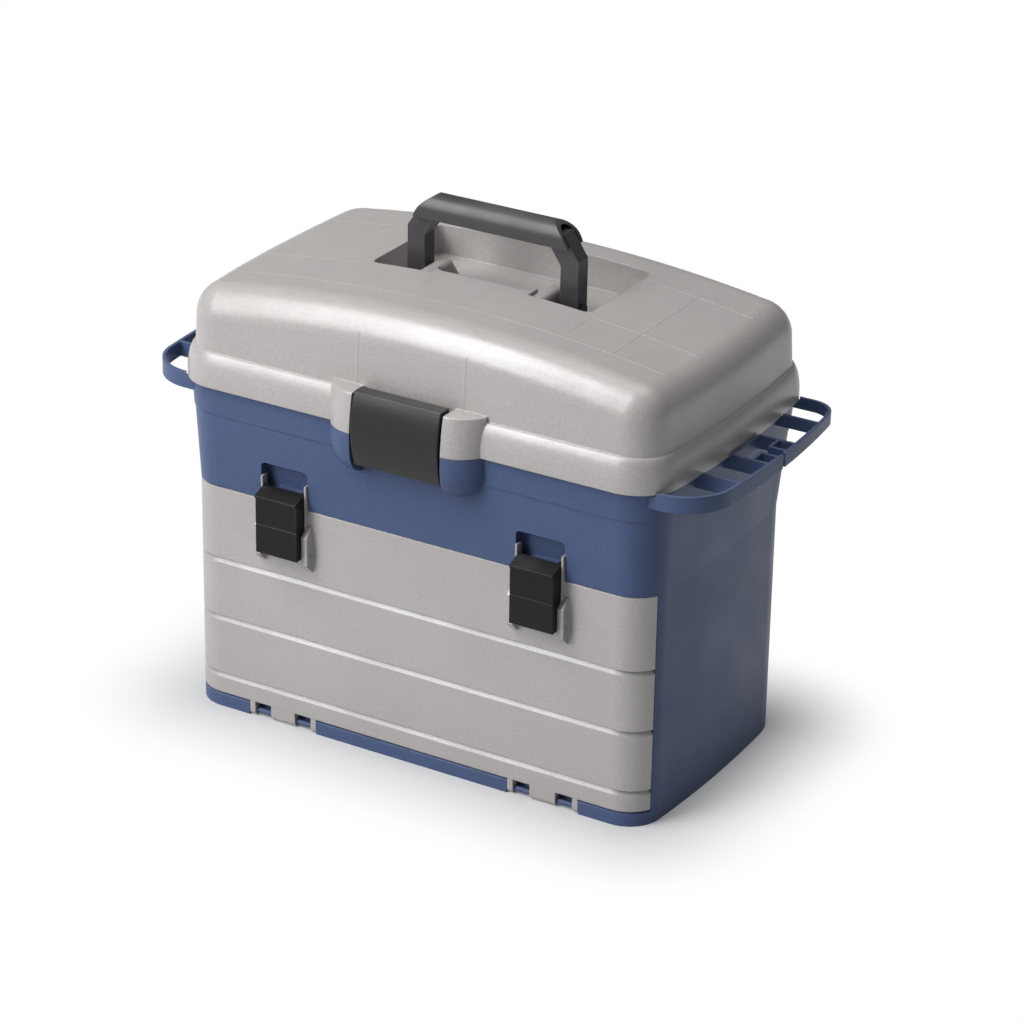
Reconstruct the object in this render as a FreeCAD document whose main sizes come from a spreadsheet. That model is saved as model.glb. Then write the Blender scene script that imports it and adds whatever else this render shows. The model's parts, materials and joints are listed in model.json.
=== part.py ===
# Fishing tackle cabinet as a parametric FreeCAD document, in millimetres.
# X runs to the right, Y to the back, Z up, and the cabinet stands on Z = 0.
import FreeCAD
import Part
import math
import os
import re
from FreeCAD import Placement, Rotation, Vector

DRIVING_SIZES = {
    # Cabinet shell
    "shell_half_width": 210.6,
    "shell_bow": 6,
    "shell_depth": 231.4,
    "shell_front_radius": 28,
    "shell_rear_radius": 42,
    "shell_wall": 3.2,
    "sill_height": 12,
    "sill_chamfer": 1.4,
    "floor_plate": 3,
    "foot_ring": 9,
    "panel_top": 192.5,
    "panel_gap": 0.6,
    "panel_return": 17,
    "bay_head": 4.5,
    "bin_floor_plate": 8,
    "bin_wall_height": 91.5,
    "rim_gap": 0.8,
    "seam_drop": 28,
    "seam_step": 0.7,
    "cut_overrun": 30,
    "joint_gap": 0.3,
    "fit_gap": 0.05,
    # Recesses for the panel latches
    "latch_place": 114.3,
    "recess_half_width": 21.3,
    "recess_rise": 32.5,
    "recess_depth": 8,
    "recess_backing": 3,
    "recess_radius": 4,
    "catch_half_width": 12,
    "catch_rise": 11,
    "catch_thickness": 6.4,
    # Bosses beside the lid latch
    "pod_gap": 1.6,
    "pod_width": 28,
    "pod_reach": 24.6,
    "pod_top_reach": 20.3,
    "pod_edge_reach": 6,
    "pod_drop": 37.5,
    "pod_rise": 4.2,
    "pod_edge_radius": 1.2,
    "rib_catch_half_width": 30,
    "rib_catch_gap": 1.7,
    "rib_catch_height": 6,
    "rib_catch_reach": 10,
    # Tool racks
    "rack_side_reach": 42.9,
    "rack_bow": 7.5,
    "rack_setback": 3,
    "rack_rear_setback": 11,
    "rack_front_radius": 40,
    "rack_rear_radius": 22,
    "rack_rise": 1.8,
    "rack_front_height": 13.4,
    "rack_rear_height": 9.4,
    "rack_wall": 2.6,
    "rack_rib": 2.4,
    "rack_slit": 3.6,
    "rack_slot_half": 8,
    "rack_cell_depth": 17,
    # Lid
    "lip_side_reach": 9,
    "lip_bow": 8,
    "lip_overhang": 10,
    "lip_rear_overhang": 11.9,
    "lip_radius": 37,
    "lip_lap": 4.5,
    "lip_height": 27.3,
    "lip_shoulder": 23.5,
    "lid_inset": 7,
    "lid_draft": 2.75,
    "lid_wall": 3,
    "lid_rise": 63.8,
    "lid_crown_drop": 17,
    "lid_crown_span": 200,
    "lid_edge_radius": 26,
    "lid_flange": 6,
    "lid_flange_thickness": 2.5,
    # Latch pocket in the front of the lid
    "pocket_drop": 13.8,
    "pocket_reach": 3,
    # Handle recess in the top of the lid
    "tub_half_width": 97,
    "tub_setback": 94.4,
    "tub_rear_room": 38.5,
    "tub_wall": 2.6,
    "tub_corner_radius": 7,
    "ledge_drop": 27.6,
    "finger_step": 6.5,
    "finger_radius": 8,
    "finger_drop": 10,
    "tub_rib_width": 13,
    "tub_rib_drop": 2.1,
    "tub_rib_reach": 8.4,
    "tub_rib_slope": 20,
    "tub_rib_radius": 4.5,
    "rib_side_gap": 4,
    # Handle
    "handle_inset": 26.1,
    "handle_pin_radius": 3,
    "handle_pin_head": 4.6,
    "handle_pin_head_height": 1.6,
    "grip_reach": 49.6,
    "grip_height": 18.3,
    "grip_width": 24,
    "grip_wall": 3,
    "grip_floor_gap": 1,
    "grip_end_room": 24.9,
    "grip_slant": 17.4,
    "grip_end_bulge": 2.5,
    "grip_tip": 1,
    "leg_side_room": 21.2,
    "leg_width": 15.5,
    "leg_thickness": 14.3,
    "knee_rise": 34.5,
    "knee_stagger": 5.5,
    "leg_lean": 17,
    "leg_head_gap": 4.9,
    "leg_key_width": 14,
    "leg_key_height": 8,
    "leg_foot": 8,
    "leg_foot_fillet": 6,
    # Lid latch
    "latch_half_width": 38.4,
    "latch_reach": 20.2,
    "latch_bulge": 5.9,
    "latch_rise": 6.2,
    "latch_height": 59.7,
    "latch_plate": 3.2,
    "latch_cheek": 2.6,
    "latch_cheek_depth": 9,
    "latch_hook": 7,
    "latch_hood_depth": 11,
    "latch_barrel": 11.5,
    "latch_axis_reach": 13.5,
    "latch_axis_drop": 7,
    "latch_pin_radius": 2,
    "latch_pin_bearing": 14,
    "latch_edge_fillet": 1,
    # Front panel
    "panel_wall": 3.5,
    "panel_flange": 8,
    "panel_foot_flange": 2,
    "panel_flange_thickness": 3,
    "groove_low": 28,
    "groove_pitch": 50.7,
    "groove_depth": 2.4,
    "groove_height": 4.4,
    "groove_lip": 1,
    "hinge_axis_setback": 4,
    "hinge_axis_height": 4,
    "hinge_bar_radius": 2.2,
    "knuckle_radius": 3.9,
    "hinge_place": 119.3,
    "hinge_half_span": 31.3,
    "hinge_tab": 5,
    "hinge_block": 22.6,
    # Seats of the panel latches
    "cheek_thickness": 1.6,
    "cheek_rise": 21.5,
    "cheek_reach": 3.4,
    "ear_thickness": 5.4,
    "ear_reach": 8,
    "ear_drop": 12.5,
    "ear_height": 38,
    "ear_point": 7,
    "tongue_rise": 8.5,
    "tongue_thickness": 2.4,
    # Panel latches
    "clip_half_width": 18.75,
    "clip_side_gap": 0.4,
    "clip_back_gap": 0.9,
    "clip_reach": 14,
    "clip_rise": 9.5,
    "clip_height": 48.5,
    "clip_split_drop": 24,
    "clip_split_width": 0.9,
    "clip_split_depth": 0.7,
    "clip_crest_height": 4.5,
    "clip_crest_reach": 4,
    "clip_lip": 1.4,
    "clip_lip_height": 3,
    "clip_plate": 3,
    "clip_cheek": 2.2,
    "clip_axis_reach": 4,
    "clip_axis_rise": 3.6,
    "clip_heel_radius": 3.1,
    "clip_pin_radius": 1.5,
    "clip_edge_fillet": 0.6,
    # Drawers and their runners
    "drawer_flange": 9.5,
    "drawer_flange_thickness": 2.5,
    "drawer_setback": 21,
    "drawer_rear_room": 20.4,
    "drawer_head_room": 8.25,
    "drawer_wall": 2.2,
    "drawer_radius": 7,
    "drawer_foot_gap": 2.5,
    "drawer_web": 1.8,
    "pull_half_width": 42,
    "pull_reach": 5,
    "pull_height": 9,
    "pull_drop": 12,
    "divider_thickness": 1.6,
    "divider_drop": 4,
    "divider_gap": 0.3,
    "runner_side_room": 23.6,
    "runner_clearance": 1.7,
    "runner_plate": 3,
    "runner_start": 23,
    "runner_rear_room": 18.4,
    "runner_ledge": 9.3,
    "runner_ledge_thickness": 2.5,
    "runner_spacer": 4,
    # Lid hinge
    "lid_axis_reach": 2,
    "lid_axis_drop": 11.5,
    "lid_knuckle_radius": 5,
    "lid_hinge_place": 120,
    "lid_knuckle_half": 14,
    "lid_knuckle_arm": 16,
    "lid_pin_radius": 2,
    "lid_arm_height": 18,
}

DRAWER_COUNT = 4
GROOVE_COUNT = 3

# Sizes that follow the driving ones
FOLLOWING_SIZES = {
    "lip_half_width": "shell_half_width + lip_side_reach",
    "rack_half_width": "shell_half_width + rack_side_reach",
    "runner_face": "shell_half_width - runner_side_room",
    "drawer_half_width": "runner_face - runner_ledge - runner_clearance",
    "lip_depth": "shell_depth + lip_overhang + lip_rear_overhang",
    "rack_depth": "shell_depth - rack_setback - rack_rear_setback",
    "drawer_depth": "shell_depth - drawer_setback - drawer_rear_room",
    "runner_length": "shell_depth - runner_start - runner_rear_room",
    "bay_height": "panel_top + bay_head",
    "bin_floor_height": "bay_height + bin_floor_plate",
    "rim_height": "panel_top + bin_wall_height",
    "seam_height": "rim_height - seam_drop",
    "recess_top": "panel_top + recess_rise",
    "catch_top": "panel_top + catch_rise",
    "lip_bottom": "rim_height - lip_lap",
    "lip_top": "lip_bottom + lip_height",
    "lid_crown_height": "lip_top + lid_rise",
    "pocket_bottom": "lip_top - pocket_drop",
    "pod_inner": "latch_half_width + pod_gap",
    "pod_bottom": "lip_bottom - pod_drop",
    "pod_top": "lip_top + pod_rise",
    "rack_top": "lip_bottom + rack_rise",
    "latch_top": "lip_top + latch_rise",
    "latch_bottom": "latch_top - latch_height",
    "latch_hook_top": "latch_bottom + latch_hook",
    "latch_axis_height": "latch_top - latch_axis_drop",
    "rib_catch_bottom": "latch_hook_top + rib_catch_gap",
    "ledge_height": "lid_crown_height - ledge_drop",
    "finger_floor": "ledge_height - finger_drop",
    "tub_depth": "shell_depth - tub_setback - tub_rear_room",
    "tub_rib_top": "lid_crown_height - tub_rib_drop",
    "handle_setback": "tub_setback + handle_inset",
    "handle_axis_height": "ledge_height + grip_width / 2 + grip_floor_gap",
    "grip_bottom": "handle_axis_height + grip_reach",
    "grip_top": "grip_bottom + grip_height",
    "grip_tip_height": "grip_bottom + grip_tip",
    "leg_outer": "tub_half_width - leg_side_room",
    "leg_inner": "leg_outer - leg_width",
    "grip_top_half_length": "leg_outer - grip_end_room",
    "grip_half_length": "grip_top_half_length + grip_slant",
    "knee_height": "handle_axis_height + knee_rise",
    "leg_top": "grip_top - grip_wall - leg_head_gap",
    "tub_rib_outer": "leg_inner - rib_side_gap",
    "tub_rib_inner": "tub_rib_outer - tub_rib_width",
    "cheek_top": "panel_top + cheek_rise",
    "ear_top": "panel_top - ear_drop",
    "ear_bottom": "ear_top - ear_height",
    "tongue_top": "panel_top + tongue_rise",
    "clip_top": "panel_top + clip_rise",
    "clip_crest": "clip_top + clip_crest_height",
    "clip_bottom": "clip_top - clip_height",
    "clip_split": "clip_top - clip_split_drop",
    "clip_axis_height": "clip_bottom + clip_axis_rise",
    "drawer_pitch": "(bay_height - sill_height) / %d" % DRAWER_COUNT,
    "drawer_height": "drawer_pitch - drawer_head_room",
    "lid_axis_height": "rim_height - lid_axis_drop",
}

RACK_RIB_SHARES = [0.225, 0.416, 0.616, 0.82]
SPACER_SHARES = [0.1, 0.5, 0.9]
POD_MIDDLE_SHARES = (0.6, 0.81)
BOSS_HEIGHT_SHARES = [0, 0.25, 0.45, 0.62, 0.76, 0.87, 0.95, 0.99]
DIVIDER_SHARES = [0.34, 0.67]
SHOULDER_STEPS = 6

doc = FreeCAD.newDocument("TackleCabinet")
sheet = doc.addObject("Spreadsheet::Sheet", "Sizes")
for row, (alias, number) in enumerate(DRIVING_SIZES.items(), start=1):
    sheet.set("A%d" % row, str(number))
    sheet.setAlias("A%d" % row, alias)
for row, (alias, formula) in enumerate(FOLLOWING_SIZES.items(), start=1):
    sheet.setAlias("B%d" % row, alias)
    sheet.set("B%d" % row, "=" + formula)
doc.recompute()


class SheetSizes:
    """Gives each named cell of the sheet as a number."""

    def __getattr__(self, alias):
        return float(sheet.get(alias))


mm = SheetSizes()
sub_parts = []

# Places that several pieces share, worked out from the sheet
rear_reach = mm.lip_depth - mm.lip_overhang + mm.lid_axis_reach + mm.lid_knuckle_radius
front = (mm.latch_reach + mm.latch_bulge - rear_reach) / 2
shell_rear = front + mm.shell_depth
lip_front = front - mm.lip_overhang
lip_rear = lip_front + mm.lip_depth
hinge_axis_y = front + mm.hinge_axis_setback
handle_axis_y = front + mm.handle_setback
latch_axis_y = front - mm.latch_axis_reach
lid_axis_y = lip_rear + mm.lid_axis_reach
rim_inset = mm.lid_wall + mm.rim_gap
panel_bottom = mm.sill_height + mm.panel_gap
opening_top = mm.panel_top + mm.panel_gap
hinge_sides = (-mm.hinge_place, mm.hinge_place)
latch_sides = (-mm.latch_place, mm.latch_place)
lid_hinge_sides = (-mm.lid_hinge_place, mm.lid_hinge_place)
over = mm.cut_overrun
far = mm.rack_half_width + over


class Outline:
    """A plan outline with rounded corners and sides that bow outwards."""

    def __init__(self, half_width, bow, front_line, depth, front_radius, rear_radius):
        self.half_width = half_width
        self.front = front_line
        self.rear = front_line + depth
        self.middle = front_line + depth / 2
        self.side_radius = (depth * depth / 4 + bow * bow) / (2 * bow)
        self.side_x = half_width - self.side_radius
        self.radii = (front_radius, rear_radius)

    def corner(self, radius, line_y, toward_front, inset):
        """Returns the start, middle and end points of a right-hand corner."""
        centre_y = line_y + radius if toward_front else line_y - radius
        reach = self.side_radius - radius
        centre_x = self.side_x + math.sqrt(reach ** 2 - (centre_y - self.middle) ** 2)
        centre = Vector(centre_x, centre_y, 0)
        outward = centre - Vector(self.side_x, self.middle, 0)
        outward.normalize()
        across = Vector(0, -1 if toward_front else 1, 0)
        between = outward + across
        between.normalize()
        size = radius - inset
        return [centre + across * size, centre + between * size, centre + outward * size]

    def wire(self, inset, height):
        """The closed outline, moved inwards by inset, at a height."""
        first = self.corner(self.radii[0], self.front, True, inset)
        last = self.corner(self.radii[1], self.rear, False, inset)
        side = Vector(self.half_width - inset, self.middle, 0)
        right = first + [side] + last[::-1]
        points = [point + Vector(0, 0, height) for point in right]
        mirror = [Vector(-point.x, point.y, point.z) for point in points]
        edges = [
            Part.LineSegment(mirror[0], points[0]).toShape(),
            Part.Arc(points[0], points[1], points[2]).toShape(),
            Part.Arc(points[2], points[3], points[4]).toShape(),
            Part.Arc(points[4], points[5], points[6]).toShape(),
            Part.LineSegment(points[6], mirror[6]).toShape(),
            Part.Arc(mirror[6], mirror[5], mirror[4]).toShape(),
            Part.Arc(mirror[4], mirror[3], mirror[2]).toShape(),
            Part.Arc(mirror[2], mirror[1], mirror[0]).toShape(),
        ]
        return Part.Wire(edges)

    def prism(self, inset, bottom, top):
        """A solid with this outline between two heights."""
        return Part.Face(self.wire(inset, bottom)).extrude(Vector(0, 0, top - bottom))

    def drafted(self, low_inset, high_inset, bottom, top):
        """A solid whose sides lean inwards between two heights."""
        points = [Vector(-far, self.front + low_inset, bottom), Vector(-far, self.rear - low_inset, bottom),
                  Vector(-far, self.rear - high_inset, top), Vector(-far, self.front + high_inset, top)]
        solid = Part.Face(Part.makePolygon(points + points[:1])).extrude(Vector(far * 2, 0, 0))
        centre = Vector(self.side_x, self.middle, bottom)
        cone = Part.makeCone(self.side_radius - low_inset, self.side_radius - high_inset,
                             top - bottom, centre)
        cone.rotate(centre, Vector(0, 0, 1), 180)
        for side in mirrored_pair(cone):
            solid = solid.common(side)
        corners = edges_where(solid, lambda box: box.ZLength > top - bottom - mm.joint_gap)
        return solid.makeFillet(self.radii[0] - (low_inset + high_inset) / 2, corners)


shell_plan = Outline(mm.shell_half_width, mm.shell_bow, front, mm.shell_depth,
                     mm.shell_front_radius, mm.shell_rear_radius)
lip_plan = Outline(mm.lip_half_width, mm.lip_bow, lip_front, mm.lip_depth,
                   mm.lip_radius, mm.lip_radius)
rack_plan = Outline(mm.rack_half_width, mm.rack_bow, front + mm.rack_setback, mm.rack_depth,
                    mm.rack_front_radius, mm.rack_rear_radius)


def block(x_range, y_range, z_range):
    """A box between pairs of X, Y and Z places."""
    corner = Vector(min(x_range), min(y_range), min(z_range))
    return Part.makeBox(abs(x_range[1] - x_range[0]), abs(y_range[1] - y_range[0]),
                        abs(z_range[1] - z_range[0]), corner)


def rod(radius, x_range, axis_y, axis_z):
    """A round bar along X."""
    start = Vector(min(x_range), axis_y, axis_z)
    return Part.makeCylinder(radius, abs(x_range[1] - x_range[0]), start, Vector(1, 0, 0))


def mirrored_pair(shape):
    """A shape with its mirror image across the middle plane."""
    return [shape, shape.mirror(Vector(0, 0, 0), Vector(1, 0, 0))]


def edges_where(shape, test):
    """The edges of a shape whose bounding box passes a test."""
    return [edge for edge in shape.Edges if test(edge.BoundBox)]


def add_shape(label, shape):
    """Adds a computed sub-part to the document."""
    feature = doc.addObject("Part::Feature", label)
    feature.Shape = shape.removeSplitter()
    feature.Placement = Placement()
    feature.Label = label
    sub_parts.append(feature)
    return feature


def bound(text):
    """Writes a sum of sheet names as an expression on the sheet."""
    return re.sub(r"[a-z][a-z_]*", lambda word: "Sizes." + word.group(0), text)


def add_cylinder(label, radius, height, place):
    """A Part cylinder whose sizes follow the sheet, laid along X."""
    cylinder = doc.addObject("Part::Cylinder", label)
    cylinder.setExpression("Radius", bound(radius))
    cylinder.setExpression("Height", bound(height))
    cylinder.Placement = Placement(place, Rotation(Vector(0, 1, 0), 90))
    return cylinder


def add_box(label, length, width, height, place):
    """A Part box whose sizes follow the sheet."""
    box = doc.addObject("Part::Box", label)
    box.setExpression("Length", bound(length))
    box.setExpression("Width", bound(width))
    box.setExpression("Height", bound(height))
    box.Placement = Placement(place, Rotation())
    return box


def add_boolean(kind, label, parts):
    """A Part cut, or a fuse of several objects."""
    joined = doc.addObject("Part::" + kind, label)
    if kind == "Cut":
        joined.Base, joined.Tool = parts
    else:
        joined.Shapes = parts
    return joined


def keep(label, made):
    """Names an object as a finished sub-part."""
    made.Label = label
    sub_parts.append(made)
    return made


def sketch_on(body, name, role, edges):
    """A sketch on one of the body's origin planes."""
    sketch = body.newObject("Sketcher::SketchObject", name)
    plane = [item for item in body.Origin.OriginFeatures if item.Role == role][0]
    sketch.AttachmentSupport = (plane, "")
    sketch.MapMode = "FlatFace"
    for edge in edges:
        sketch.addGeometry(edge, False)
    return sketch


def feature_on(body, kind, name, sketch, length):
    """A symmetric pad or pocket whose length follows the sheet."""
    feature = body.newObject("PartDesign::" + kind, name)
    feature.Profile = sketch
    feature.SideType = "Symmetric"
    feature.setExpression("Length", bound(length))
    return feature


def polygon(points):
    """Closed line segments through flat points."""
    corners = [Vector(across, up, 0) for across, up in points]
    return [Part.LineSegment(start, end) for start, end in zip(corners, corners[1:] + corners[:1])]


def shell_height_solid(inset, outset_at_rim):
    """The flared body of the shell, inset by a wall, up to the rim."""
    straight = shell_plan.prism(inset, 0, mm.panel_top)
    flare = Part.makeLoft([shell_plan.wire(inset, mm.panel_top),
                           lip_plan.wire(rim_inset + inset - outset_at_rim, mm.rim_height)], True, True)
    return straight.fuse(flare)


def pod_plan(reach, width, height):
    """The plan of the right-hand boss beside the lid latch, at one height."""
    inside = front + mm.shell_wall
    outer = mm.pod_inner + width
    across, out = POD_MIDDLE_SHARES
    tip = Vector(mm.pod_inner, front - reach, height)
    middle = Vector(mm.pod_inner + width * across, front - reach * out, height)
    foot = Vector(outer, front - reach * mm.pod_edge_reach / mm.pod_reach, height)
    edges = [
        Part.LineSegment(Vector(mm.pod_inner, inside, height), tip).toShape(),
        Part.Arc(tip, middle, foot).toShape(),
        Part.LineSegment(foot, Vector(outer, inside, height)).toShape(),
        Part.LineSegment(Vector(outer, inside, height), Vector(mm.pod_inner, inside, height)).toShape(),
    ]
    return Part.Wire(edges)


def lower_boss():
    """The blue boss under the lid's, which rounds off into the front wall."""
    top = mm.lip_bottom - mm.joint_gap
    sections = []
    for share in BOSS_HEIGHT_SHARES:
        size = math.sqrt(1 - share ** 4)
        height = top - share * (top - mm.pod_bottom)
        sections.append(pod_plan(mm.pod_reach * size, mm.pod_width * size, height))
    return Part.makeLoft(sections, True, False)


def shell_underside():
    """The hollow under the floor, with a rib each way left standing."""
    inner = shell_plan.prism(mm.foot_ring, 0, mm.sill_height - mm.floor_plate)
    behind = block((-far, far), (front + mm.panel_return, shell_rear), (0, mm.sill_height))
    half = mm.foot_ring / 2
    rib = block((-half, half), (front, shell_rear), (0, mm.sill_height))
    cross_rib = block((-far, far), (shell_plan.middle - half, shell_plan.middle + half), (0, mm.sill_height))
    return inner.common(behind).cut(rib.fuse(cross_rib))


def sill_chamfer():
    """The wedge taken off the front top edge of the sill."""
    drop = mm.sill_chamfer
    keep_under = Part.makeLoft([shell_plan.wire(0, mm.sill_height - drop),
                                shell_plan.wire(drop * 2, mm.sill_height)], True, True)
    band = block((-far, far), (front - over, front + mm.panel_return),
                 (mm.sill_height - drop, mm.sill_height))
    return band.cut(keep_under)


def hinge_notch(place):
    """The gap in the sill where the panel's knuckles turn."""
    half = mm.hinge_half_span + mm.joint_gap
    back = hinge_axis_y + mm.knuckle_radius + mm.panel_gap
    return block((place - half, place + half), (front - over, back), (-over, mm.sill_height + over))


def latch_recess(place):
    """The pocket above the panel that a panel latch reaches into."""
    half = mm.recess_half_width
    recess = block((place - half, place + half), (front - over, front + mm.recess_depth),
                   (mm.bay_height - over, mm.recess_top))
    upright = edges_where(recess, lambda box: box.XLength < mm.joint_gap and box.ZLength < mm.joint_gap
                          and box.ZMax > mm.recess_top - mm.joint_gap)
    return recess.makeFillet(mm.recess_radius, upright)


def cabinet_shell():
    """The moulded body: floor, walls, bay for the drawers and the bin above it."""
    outer = shell_height_solid(0, 0)
    band = block((-far, far), (front - over, shell_rear + over), (mm.seam_height, mm.rim_height))
    body = outer.fuse(shell_height_solid(-mm.seam_step, 0).common(band))
    bin_space = shell_height_solid(mm.shell_wall, 0)
    body = body.cut(bin_space.common(block((-far, far), (front - over, shell_rear + over),
                                           (mm.bin_floor_height, mm.rim_height))))
    for place in latch_sides:
        half = mm.recess_half_width + mm.recess_backing
        backing = block((place - half, place + half),
                        (front, front + mm.recess_depth + mm.recess_backing),
                        (mm.bay_height, mm.recess_top + mm.recess_backing))
        body = body.fuse(backing.common(outer))
    bay = shell_plan.prism(mm.shell_wall, mm.sill_height, mm.bay_height)
    bay = bay.common(block((-far, far), (front + mm.panel_return, shell_rear), (0, mm.bay_height)))
    opening = block((-far, far), (front - over, front + mm.panel_return), (mm.sill_height, opening_top))
    body = body.cut(bay).cut(opening).cut(shell_underside()).cut(sill_chamfer())
    catch_rib = block((-mm.rib_catch_half_width, mm.rib_catch_half_width),
                      (front - mm.rib_catch_reach, front),
                      (mm.rib_catch_bottom, mm.rib_catch_bottom + mm.rib_catch_height))
    body = body.fuse(mirrored_pair(lower_boss()) + [catch_rib])
    for place in latch_sides:
        body = body.cut(latch_recess(place))
        catch = block((place - mm.catch_half_width, place + mm.catch_half_width),
                      (front + mm.recess_depth - mm.catch_thickness, front + mm.recess_depth),
                      (opening_top, mm.catch_top))
        body = body.fuse(catch)
    for place in hinge_sides:
        body = body.cut(hinge_notch(place))
        reach = mm.hinge_half_span + mm.hinge_tab
        body = body.fuse(rod(mm.hinge_bar_radius, (place - reach, place + reach),
                             hinge_axis_y, mm.hinge_axis_height))
    for place in lid_hinge_sides:
        for side in (-1, 1):
            inner = place + side * (mm.lid_knuckle_half + mm.joint_gap)
            body = body.fuse(shell_knuckle(inner, inner + side * mm.lid_knuckle_arm))
        reach = mm.lid_knuckle_half + mm.lid_knuckle_arm * 2
        body = body.cut(rod(mm.lid_pin_radius, (place - reach, place + reach),
                            lid_axis_y, mm.lid_axis_height))
    return body


def shell_knuckle(start, end):
    """One of the shell's knuckles, with its arm to the rear wall."""
    arm = block((start, end), (shell_rear, lid_axis_y),
                (mm.lid_axis_height - mm.lid_knuckle_radius, mm.lid_axis_height + mm.lid_knuckle_radius))
    knuckle = rod(mm.lid_knuckle_radius, (start, end), lid_axis_y, mm.lid_axis_height)
    return arm.fuse(knuckle).cut(shell_height_solid(mm.shell_wall / 2, 0))


def rack_cells(inner_x, low):
    """Ribs across the right-hand rack and the small cells at its middle."""
    z_range = (low, mm.rack_top)
    places = [rack_plan.front + share * mm.rack_depth for share in RACK_RIB_SHARES]
    pieces = [block((inner_x, far), (place, place + mm.rack_rib), z_range) for place in places]
    second, third = places[1:3]
    inner_wall = mm.rack_half_width - mm.rack_cell_depth * 2
    outer_wall = mm.rack_half_width - mm.rack_cell_depth
    middle = (second + third + mm.rack_rib) / 2
    pieces.append(block((inner_wall, inner_wall + mm.rack_rib), (second, third), z_range))
    for start, end in ((second, middle - mm.rack_slot_half), (middle + mm.rack_slot_half, third)):
        pieces.append(block((outer_wall, outer_wall + mm.rack_rib), (start, end), z_range))
    for place in (middle - mm.rack_slot_half, middle + mm.rack_slot_half - mm.rack_rib):
        pieces.append(block((outer_wall, far), (place, place + mm.rack_rib), z_range))
    pieces.append(block((inner_x, inner_wall), (middle, middle + mm.rack_rib), z_range))
    slit = block((outer_wall + mm.rack_rib, far), (middle - mm.rack_slit / 2, middle + mm.rack_slit / 2),
                 (low - over, mm.rack_top + over))
    return pieces, slit


def rack_height_solid():
    """The room between the rack's level top and its underside, which climbs to the rear."""
    top = mm.rack_top
    side = [(rack_plan.front, top), (rack_plan.front, top - mm.rack_front_height),
            (rack_plan.rear, top - mm.rack_rear_height), (rack_plan.rear, top)]
    points = [Vector(-far, along, up) for along, up in side]
    return Part.Face(Part.makePolygon(points + points[:1])).extrude(Vector(far * 2, 0, 0))


def tool_rack():
    """The right-hand rack of open pockets below the lid."""
    top = mm.rack_top
    low = top - mm.rack_front_height
    inner_x = mm.shell_half_width - mm.rack_cell_depth
    ring = rack_plan.prism(0, low, top).cut(rack_plan.prism(mm.rack_wall, low, top))
    cells, slit = rack_cells(inner_x, low)
    rack = ring.fuse([cell.common(rack_plan.prism(mm.rack_wall / 2, low, top)) for cell in cells])
    rack = rack.common(block((inner_x, far), (front - over, shell_rear), (low, top)))
    lid_room = lip_plan.prism(-mm.rim_gap, mm.lip_bottom - mm.rim_gap, top + over)
    rack = rack.cut(shell_height_solid(-mm.seam_step, 0)).cut(lid_room).cut(slit)
    solids = rack.common(rack_height_solid()).Solids
    return max(solids, key=lambda solid: solid.Volume)


def crown(drop):
    """A long cylinder along Y whose top is the lid's crowned top face."""
    radius = (mm.lid_crown_span ** 2 + mm.lid_crown_drop ** 2) / (2 * mm.lid_crown_drop)
    length = mm.lip_depth + 2 * over
    start = Vector(0, lip_front - over, mm.lid_crown_height - radius)
    cylinder = Part.makeCylinder(radius - drop, length, start, Vector(0, 1, 0))
    cylinder.rotate(start, Vector(0, 1, 0), 180)
    return cylinder


def lid_dome(inset, drop, edge_radius):
    """The raised middle of the lid, drafted inwards, with its rounded top edge."""
    low = mm.lip_bottom
    high = mm.lid_crown_height + over
    lean = mm.lid_draft / mm.lid_rise
    dome = lip_plan.drafted(inset + (low - mm.lip_top) * lean, inset + (high - mm.lip_top) * lean, low, high)
    dome = dome.common(crown(drop))
    rim = mm.lid_crown_height - mm.lid_crown_drop * 2
    top_edges = edges_where(dome, lambda box: box.ZMin > rim)
    return dome.makeFillet(edge_radius, top_edges)


def lid_lip():
    """The wide band round the foot of the lid, with a soft shoulder."""
    start = mm.lip_top - mm.lip_shoulder
    sections = []
    for step in range(SHOULDER_STEPS + 1):
        turn = math.pi / 2 * step / SHOULDER_STEPS
        inset = mm.lid_inset * (1 - math.cos(turn))
        sections.append(lip_plan.wire(inset, start + mm.lip_shoulder * math.sin(turn)))
    shoulder = Part.makeLoft(sections, True, False)
    return lip_plan.prism(0, mm.lip_bottom, start).fuse(shoulder)


def tub_rib():
    """The right-hand rib that carries the handle's pin, sloping down at its rear end."""
    tub_front = front + mm.tub_setback
    low = mm.finger_floor - mm.tub_wall
    top = mm.tub_rib_top
    end = handle_axis_y + mm.tub_rib_reach
    foot = end + mm.tub_rib_slope
    side = [(tub_front - over, low), (tub_front - over, top), (end, top),
            (foot, mm.ledge_height), (foot, low)]
    points = [Vector(mm.tub_rib_inner, along, up) for along, up in side]
    rib = Part.Face(Part.makePolygon(points + points[:1])).extrude(Vector(mm.tub_rib_width, 0, 0))
    long_edges = edges_where(rib, lambda box: box.XLength < mm.joint_gap and box.ZMax > top - mm.joint_gap
                             and box.YLength > mm.joint_gap)
    return rib.makeFillet(mm.tub_rib_radius, long_edges)


def finger_well():
    """The rounded space between the ribs, under the grip."""
    half = mm.tub_rib_inner
    well_front = front + mm.tub_setback + mm.finger_step
    well = block((-half, half), (well_front, handle_axis_y + mm.tub_rib_reach + mm.tub_rib_slope),
                 (mm.finger_floor, mm.lid_crown_height + over))
    upright = edges_where(well, lambda box: box.ZLength > over)
    return well.makeFillet(mm.finger_radius, upright)


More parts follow.
